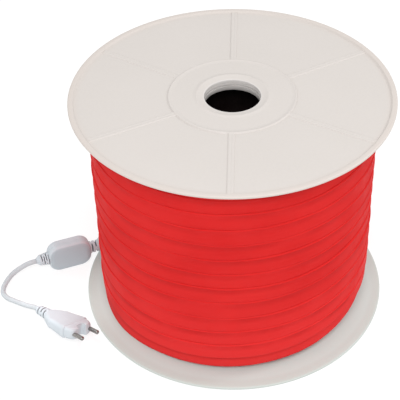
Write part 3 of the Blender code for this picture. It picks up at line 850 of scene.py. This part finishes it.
def make_winding(material):
    tree = wound_rings_tree(material)
    low = WINDING_LOW + TURN_PITCH / 2
    high = WINDING_HIGH - TURN_PITCH / 2
    values = {
        "Count": TURN_COUNT, "Rise": TURN_PITCH, "Growth": 0.0, "First Height": low,
        "Radius": WINDING_RADIUS, "Thickness": FLEX_THICKNESS,
        "Height": TURN_PITCH * TURN_OVERLAP, "Squareness": 9.0, "Edge Lip": EDGE_LIP,
        "Climb": TURN_CLIMB, "Spread": 3 * MM, "Bulge": 0.9 * MM, "Sway": 2.2 * MM,
        "Low": WINDING_LOW, "High": WINDING_HIGH, "Lowest Step": LOWEST_TURN_STEP,
        "Lowest Sink": LOWEST_TURN_SINK, "Lowest Round": 0.2, "Around": 181, "Seed": 3.7,
    }
    outer = grow("flex_turns", tree, values)
    finish_piece(outer, None, "red_flex", "neon_flex")
    spare = WINDING_RADIUS - WINDING_BORE - LAYER_COUNT * FLEX_THICKNESS
    below = FLEX_THICKNESS + spare / LAYER_COUNT
    values.update({
        "Rise": 0.0, "Growth": -below, "Squareness": 6.0, "Edge Lip": 0.0, "Spread": 0.0,
        "Bulge": 0.1 * MM, "Sway": 0.0, "Lowest Step": 0.0, "Lowest Sink": 0.0,
        "Lowest Round": 0.0, "Around": 97,
    })
    for name, height, first, count, climb in (
            ("flex_layer_second", low, 1, 1, SECOND_LAYER_CLIMB),
            ("flex_layers_low", low, 2, LAYER_COUNT - 2, 0.0),
            ("flex_layers_high", high, 1, LAYER_COUNT - 1, 0.0)):
        values.update({"Count": count, "First Height": height, "Climb": climb,
                       "Radius": WINDING_RADIUS - below * first})
        finish_piece(grow(name, tree, values), None, "red_flex")


def direction(angle):
    return Vector((math.cos(angle), math.sin(angle)))


def tail_stations():
    """Points and headings of the flex's free end, from the lowest turn into the socket."""
    centreline = WINDING_RADIUS - LOWEST_TURN_STEP - FLEX_THICKNESS / 2
    leave = direction(TAIL_LEAVE_ANGLE) * centreline
    start = TAIL_LEAVE_ANGLE + math.pi / 2
    end = ADAPTOR_HEADING + math.pi
    shift = Vector((math.sin(start) - math.sin(end), math.cos(end) - math.cos(start)))
    axis = direction(ADAPTOR_HEADING)
    offset = leave - ADAPTOR_CENTRE.xy
    bend = -(offset.x * axis.y - offset.y * axis.x) / (shift.x * axis.y - shift.y * axis.x)
    reach = (offset + shift * bend).dot(axis)
    low_centre = WINDING_LOW + TURN_PITCH / 2
    high_centre = ADAPTOR_CENTRE.z
    stations = []
    for step in range(TAIL_BURIED_STEPS):
        angle = TAIL_LEAVE_ANGLE - TAIL_BURIED_ANGLE * (1 - step / TAIL_BURIED_STEPS)
        stations.append((*(direction(angle) * centreline), low_centre, angle + math.pi / 2))
    hub = leave + bend * Vector((math.sin(start), -math.cos(start)))
    for step in range(TAIL_BEND_STEPS + 1):
        share = step / TAIL_BEND_STEPS
        heading = start + (end - start) * share
        lift = share * share * (3 - 2 * share)
        stations.append((hub.x - bend * math.sin(heading), hub.y + bend * math.cos(heading),
                         low_centre + (high_centre - low_centre) * lift, heading))
    straight = reach - ADAPTOR_LENGTH / 2 - NECK_LENGTH - SOCKET_LENGTH + SOCKET_DEPTH - TOUCH_GAP
    last = Vector(stations[-1][:2]) + direction(end) * straight
    return stations + [(*last, high_centre, end)]


def make_tail(material):
    section = rounded_rectangle(FLEX_THICKNESS, FLEX_HEIGHT, 2.0 * MM, 5)
    rings = [[(x + a * math.sin(heading), y - a * math.cos(heading), z + c) for a, c in section]
             for x, y, z, heading in tail_stations()]
    item = link_mesh("flex_tail", skin_rings(rings), crisp=CRISP_ANGLE)
    return finish_piece(item, material, "red_flex")


# Mains lead

def adaptor_matrix():
    return heading_matrix(ADAPTOR_CENTRE, ADAPTOR_HEADING)


def make_adaptor(material):
    """Rounded case with a fine parting line round its edge and two flat wide faces, which carry
    painted shade.
    """
    matrix = adaptor_matrix()
    half = ADAPTOR_THICKNESS / 2
    side = [(half, ADAPTOR_BEVEL + 5 * MM), (half, ADAPTOR_BEVEL + 1.2 * MM),
            (half - 0.12 * MM, ADAPTOR_BEVEL + 0.4 * MM)]
    for left, inwards in quarter_curve(8):
        setback = ADAPTOR_FACE_STEP + (ADAPTOR_BEVEL - ADAPTOR_FACE_STEP) * inwards
        side.append((half - setback, ADAPTOR_BEVEL * left))
    side += [(0.35 * MM, 0.0), (0.15 * MM, 0.12 * MM)]
    rings = []
    flat = []
    for across, inset in [(-across, inset) for across, inset in side] + side[::-1]:
        outline = rounded_rectangle(ADAPTOR_LENGTH - 2 * inset, ADAPTOR_HEIGHT - 2 * inset,
                                    ADAPTOR_CORNER - inset, 12)
        rings.append([matrix @ Vector((a, across, c)) for a, c in outline])
        # Share of painted shade: 1 on the wide faces, fading out over the bevel
        flat += [min(1.0, max(0.0, 4 * inset / ADAPTOR_BEVEL - 1.2))] * len(outline)
    item = link_mesh("adaptor_shell", skin_rings(rings), crisp=math.radians(40))
    item.data.attributes.new("wide_face_painted_shade", "FLOAT", "POINT").data.foreach_set("value", flat)
    return finish_piece(item, material, "lead_plastic", "adaptor_case")


def sleeve_tree(material):
    """Flexible sleeve along X: a tapered section, with grooves by turns at its sides and faces."""
    tree = NodeTree("slotted_sleeve", (), (
        "Length", "Root Width", "Root Height", "Tip Width", "Tip Height", "Squareness", "Grooves",
        "Groove Start", "Groove End", "Groove Depth", "Nose", "Nose Size"))
    given = tree.given
    grid, x, around = tree.tube_grid(49, SLEEVE_POINTS)
    share = x * (1 / math.tau) + 0.5
    width = share * (given["Tip Width"] - given["Root Width"]) + given["Root Width"]
    height = share * (given["Tip Height"] - given["Root Height"]) + given["Root Height"]
    span = given["Groove End"] - given["Groove Start"]
    phase = (share - given["Groove Start"]) / span * given["Grooves"]
    part = tree.math("FRACT", phase)
    groove = tree.ramp(part, 0.5, 0.56) * (1.0 - tree.ramp(part, 0.84, 0.9))
    inside = (phase > 0.0) * (phase < given["Grooves"])
    odd = tree.math("MODULO", abs(tree.math("FLOOR", phase)), 2.0)
    quarter = odd * (math.pi / 2) + around
    open_side = tree.ramp(abs(tree.math("COSINE", quarter)), 0.18, 0.42)
    cut = groove * inside * (open_side * given["Groove Depth"])
    # Painted shade in the slits: share of the groove's depth
    grid = tree.keep(grid, "painted_slit_shade", cut / tree.math("MAXIMUM", given["Groove Depth"], 0.0001))
    nose = 1.0 - tree.ramp(share, 1.0 - given["Nose"], 1.0)
    nose = nose * (1.0 - given["Nose Size"]) + given["Nose Size"]
    root_cap = tree.math("MINIMUM", share * (SLEEVE_POINTS - 1), 1.0)
    tip_cap = tree.math("MINIMUM", (1.0 - share) * (SLEEVE_POINTS - 1), 1.0)
    size = nose * (root_cap * tip_cap)
    power = 2.0 / given["Squareness"]
    y = tree.signed_power(tree.math("COSINE", around), power) * (width * 0.5 - cut)
    z = tree.signed_power(tree.math("SINE", around), power) * (height * 0.5 - cut)
    return tree.end(tree.place(grid, share * given["Length"], y * size, z * size), material)


def make_sleeve(name, tree, matrix, values, *nodes):
    return finish_piece(grow(name, tree, values, matrix), None, "lead_plastic", *nodes)


def make_inlet_sleeve(tree):
    """Ribbed cone over the cord, on the adaptor's outer end."""
    root = Matrix.Translation((SLEEVE_SINK - ADAPTOR_LENGTH / 2, 0.0, 0.0)) @ HALF_TURN
    return make_sleeve("inlet_sleeve", tree, adaptor_matrix() @ root, {
        "Length": RELIEF_LENGTH + 0.8 * MM, "Root Width": 12.8 * MM, "Root Height": 12.8 * MM,
        "Tip Width": 9.2 * MM, "Tip Height": 9.2 * MM, "Squareness": 2.2, "Grooves": 4.0,
        "Groove Start": -0.08, "Groove End": 0.62, "Groove Depth": 2.2 * MM,
        "Nose": 0.3, "Nose Size": 0.6,
    }, "adaptor_inlet_relief")


def make_outlet_sleeve(tree):
    """Ribbed neck on the adaptor's other end."""
    root = Matrix.Translation((ADAPTOR_LENGTH / 2 - SLEEVE_SINK, 0.0, 0.0))
    return make_sleeve("outlet_sleeve", tree, adaptor_matrix() @ root, {
        "Length": NECK_LENGTH + 1.5 * MM, "Root Width": NECK_THICKNESS + 0.6 * MM,
        "Root Height": NECK_HEIGHT + 0.6 * MM, "Tip Width": NECK_THICKNESS,
        "Tip Height": NECK_HEIGHT, "Squareness": 3.2, "Grooves": 3.0, "Groove Start": 0.0,
        "Groove End": 0.85, "Groove Depth": 2.0 * MM, "Nose": 0.02, "Nose Size": 1.0,
    }, "adaptor_outlet_relief")


def make_outlet_socket(material):
    """Hollow socket at the neck's end, open towards the flex."""
    neck_end = ADAPTOR_LENGTH / 2 + TOUCH_GAP + NECK_LENGTH
    mouth = neck_end + SOCKET_LENGTH - TOUCH_GAP
    wall = SOCKET_WALL + TOUCH_GAP
    stations = [
        (neck_end - 3.5 * MM, -1.2 * MM), (neck_end - 1.5 * MM, 0.0),
        (neck_end - 0.2 * MM, wall - 0.2 * MM), (neck_end + 0.3 * MM, wall),
        (mouth - 0.4 * MM, wall), (mouth, wall - 0.35 * MM), (mouth, TOUCH_GAP + 0.2 * MM),
        (mouth - 0.3 * MM, TOUCH_GAP), (mouth - SOCKET_DEPTH, TOUCH_GAP),
        (mouth - SOCKET_DEPTH, -2 * MM),
    ]
    rings = []
    for distance, spread in stations:
        corner = 2.6 * MM + max(spread, -1 * MM) * 0.6
        rings.append((distance, FLEX_THICKNESS + 2 * spread, FLEX_HEIGHT + 2 * spread, corner, 5))
    bm = skin_rings(section_rings(adaptor_matrix(), rings))
    item = link_mesh("outlet_socket", bm, crisp=math.radians(45))
    return finish_piece(item, material, "lead_plastic")


def smooth_path(points, samples):
    """Points on a smooth curve through the route's own points."""
    path = []
    last = len(points) - 1
    for index in range(last):
        before, here = points[max(index - 1, 0)], points[index]
        there, after = points[index + 1], points[min(index + 2, last)]
        for step in range(samples):
            t = step / samples
            path.append(0.5 * ((2 * here) + (there - before) * t
                               + (2 * before - 5 * here + 4 * there - after) * t * t
                               + (3 * here - before - 3 * there + after) * t ** 3))
    path.append(points[last])
    return path


def edge_radius(width, thickness):
    return min(PLUG_EDGE, 0.45 * min(width, thickness))


def plug_length():
    return PLUG_RELIEF_LENGTH + PLUG_BODY_LENGTH


def plug_thickness(distance):
    return PLUG_RELIEF_TIP + (PLUG_FRONT_THICKNESS - PLUG_RELIEF_TIP) * distance / plug_length()


def reach_below_axis(width, thickness):
    """How far a rounded section of the rolled plug reaches below its axis."""
    edge = edge_radius(width, thickness)
    upright = (thickness / 2 - edge) * math.cos(PLUG_ROLL)
    return upright + (width / 2 - edge) * math.sin(PLUG_ROLL) + edge


def plug_matrix():
    """Place of the plug: it rests on its relief's tip and on its widest edge."""
    tip = reach_below_axis(PLUG_RELIEF_TIP, PLUG_RELIEF_TIP)
    widths = ((PLUG_RELIEF_LENGTH, PLUG_BACK_WIDTH),
              (PLUG_RELIEF_LENGTH + PLUG_SHOULDER_AT, PLUG_SHOULDER_WIDTH),
              (plug_length(), PLUG_FRONT_WIDTH))
    slopes = [(reach_below_axis(width, plug_thickness(at)) - tip) / at for at, width in widths]
    pitch = math.atan(max(slopes))
    return heading_matrix((*PLUG_TIP, tip * math.cos(pitch)), PLUG_HEADING, pitch, PLUG_ROLL)


def make_cord(material):
    """The mains cord, from the adaptor's inlet to the plug, with its start and its length."""
    adaptor = adaptor_matrix()
    plug = plug_matrix()
    tip = -ADAPTOR_LENGTH / 2 - RELIEF_LENGTH - 2 * TOUCH_GAP
    start = adaptor @ Vector((tip, 0.0, 0.0))
    lead_out = adaptor @ Vector((tip - CORD_LEAD_OUT, 0.0, 0.0))
    lead_in = plug @ Vector((-CORD_LEAD_IN, 0.0, 0.0))
    finish = plug @ Vector((-TOUCH_GAP, 0.0, 0.0))
    route = [start, lead_out] + [Vector(point) for point in CORD_ROUTE] + [lead_in, finish]
    points = smooth_path(route, CORD_SAMPLES_PER_SPAN)
    curve = bpy.data.curves.new("mains_cord_jacket", "CURVE")
    curve.dimensions = "3D"
    curve.bevel_depth = CORD_DIAMETER / 2
    curve.bevel_resolution = CORD_RESOLUTION
    curve.use_fill_caps = True
    spline = curve.splines.new("POLY")
    spline.points.add(len(points) - 1)
    for item, point in zip(spline.points, points):
        item.co = (*point, 1.0)
    spline.use_smooth = True
    cord = link_object("mains_cord_jacket", curve)
    finish_piece(cord, material, "cord_jacket", "mains_cord")
    length = sum((points[n + 1] - points[n]).length for n in range(len(points) - 1))
    return cord, start, length


def rounded_end(end, length, width, end_width, thickness, end_thickness):
    """Rows of a plug's section that narrows in a quarter curve up to its end."""
    return [(end - length * left, width - (width - end_width) * inwards,
             thickness - (thickness - end_thickness) * inwards)
            for left, inwards in quarter_curve(8)]


def plug_rows():
    """Distance, width and thickness down the plug's body, from its relief to its front."""
    body = PLUG_RELIEF_LENGTH
    front = plug_length()
    shoulder = body + PLUG_SHOULDER_AT
    runs = [
        (body, 0.0, [(-2.5, 9.5), (-0.6, 12.2)]),
        (body, PLUG_BACK_WIDTH, [(1.2, 1.0), (5.0, 5.2)]),
        (shoulder, PLUG_SHOULDER_WIDTH, [(-1.5, -0.9), (0.0, 0.9), (1.2, 1.3), (2.2, 0.8),
                                         (3.0, 0.7), (10.0, 2.8)]),
        (front, PLUG_FRONT_WIDTH, [(-16.0, -1.4), (-12.0, -0.2)]),
    ]
    keys = [(start + along * MM, width + wider * MM)
            for start, width, points in runs for along, wider in points]
    rows = [(at, width, plug_thickness(at) - PLUG_FLOOR_TRIM) for at, width in keys]
    step_at = front - PLUG_BLOCK_LENGTH
    step_thickness = plug_thickness(step_at) - PLUG_FLOOR_TRIM
    block = step_thickness - PLUG_BLOCK_STEP
    rows += rounded_end(step_at, 1.6 * MM, PLUG_FRONT_WIDTH, PLUG_BLOCK_WIDTH,
                        step_thickness, block)
    rows.append((step_at + 0.4 * MM, PLUG_BLOCK_WIDTH, block))
    rows += rounded_end(front, PLUG_NOSE, PLUG_BLOCK_WIDTH, PLUG_BLOCK_WIDTH - 11 * MM,
                        block, block - 1.6 * MM)
    return rows


def recess_cutter(matrix):
    """Block with rounded inner corners, to be cut out between the plug's pins."""
    half = PLUG_RECESS_WIDTH / 2
    back = plug_length() - PLUG_RECESS_DEPTH
    mouth = plug_length() + 5 * MM
    slot = [(back + PLUG_RECESS_CORNER * left, -half + PLUG_RECESS_CORNER * inwards)
            for left, inwards in quarter_curve(6)]
    outline = [(mouth, -half)] + slot + [(a, -b) for a, b in reversed(slot)] + [(mouth, half)]
    rings = [[matrix @ Vector((a, b, c)) for a, b in outline]
             for c in (-PLUG_FRONT_THICKNESS, PLUG_FRONT_THICKNESS)]
    return link_mesh("plug_recess_cutter", skin_rings(rings))


def make_plug(material):
    """Moulded body, cut away between the two blocks that carry the pins."""
    matrix = plug_matrix()
    sections = [(distance, width, thickness, edge_radius(width, thickness), 6)
                for distance, width, thickness in plug_rows()]
    bm = skin_rings(section_rings(matrix, sections))
    body = link_mesh("plug_shell", bm, crisp=CRISP_ANGLE)
    cutter = recess_cutter(matrix)
    step = body.modifiers.new("recess", "BOOLEAN")
    step.operation = "DIFFERENCE"
    step.solver = "EXACT"
    step.object = cutter
    soften = body.modifiers.new("soften", "BEVEL")
    soften.width = PLUG_SOFTENING
    soften.segments = 3
    soften.limit_method = "ANGLE"
    soften.angle_limit = math.radians(55)
    bpy.context.view_layer.update()
    mesh = evaluated_mesh(body)
    body.modifiers.clear()
    body.data = mesh
    mesh.shade_smooth()
    mesh.set_sharp_from_angle(angle=math.radians(35))
    bpy.data.objects.remove(cutter, do_unlink=True)
    return finish_piece(body, material, "lead_plastic", "plug_body")


def make_plug_sleeve(tree):
    """Slotted relief at the plug's back, over the cord."""
    root = Matrix.Translation((PLUG_RELIEF_LENGTH - SLEEVE_SINK, 0.0, 0.0)) @ HALF_TURN
    return make_sleeve("plug_sleeve", tree, plug_matrix() @ root, {
        "Length": PLUG_RELIEF_LENGTH - SLEEVE_SINK, "Root Width": PLUG_RELIEF_WIDTH,
        "Root Height": 9.6 * MM, "Tip Width": PLUG_RELIEF_TIP, "Tip Height": PLUG_RELIEF_TIP,
        "Squareness": 2.5, "Grooves": 3.0, "Groove Start": 0.0, "Groove End": 0.8,
        "Groove Depth": 2.0 * MM, "Nose": 0.15, "Nose Size": 0.75,
    })


def make_pin(name, side, material, node):
    """One metal pin with a rounded tip that ends in a small flat."""
    matrix = plug_matrix()
    offset = side * PIN_SPACING / 2
    radius = PIN_DIAMETER / 2
    base = plug_length()
    tip = base + PIN_LENGTH
    stations = [(base - PIN_SOCKET_DEPTH + TOUCH_GAP, radius), (base + 0.4 * MM, radius),
                (tip - PIN_ROUND - 0.3 * MM, radius)]
    stations += [(tip - PIN_ROUND * left, radius - PIN_ROUND * inwards)
                 for left, inwards in quarter_curve(6)[1:]]
    stations.append((tip, PIN_TIP_RADIUS))
    turns = [math.tau * n / 32 for n in range(32)]
    rings = [[matrix @ Vector((distance, offset + size * math.cos(t), size * math.sin(t)))
              for t in turns] for distance, size in stations]
    item = link_mesh(name, skin_rings(rings), crisp=CRISP_ANGLE)
    return finish_piece(item, material, "pin_metal", node)


def make_lead(lead, jacket, metal):
    sleeves = sleeve_tree(lead)
    plug_parts = [make_plug(lead), make_plug_sleeve(sleeves),
                  make_pin("pin_left", 1, metal, "plug_pin_left"),
                  make_pin("pin_right", -1, metal, "plug_pin_right")]
    adaptor_parts = [make_adaptor(lead), make_inlet_sleeve(sleeves), make_outlet_sleeve(sleeves),
                     make_outlet_socket(lead)]
    cord, start, length = make_cord(jacket)
    plug_parts + adaptor_parts


def main():
    make_camera()
    make_floor()
    make_lights()
    # The lower flange gets the painted-shade tint and the upper flange the painted-light tint of the
    # same plastic
    shaded_flange_plastic = reel_plastic("reel_plastic_cool", *SHADED_FLANGE_WHITES)
    lit_flange_plastic = reel_plastic("reel_plastic_warm", *LIT_FLANGE_WHITES)
    make_flange("flange_low", 0.0, 1, shaded_flange_plastic, "lower_flange")
    make_flange("flange_high", REEL_HEIGHT, -1, lit_flange_plastic, "upper_flange")
    # Painted shade: the barrel seen down the bore is coloured near black
    dress(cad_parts["barrel"], barrel_plastic())
    red = flex_jacket()
    make_winding(red)
    make_tail(red)
    make_lead(lead_plastic(), cord_jacket(), pin_metal())


main()
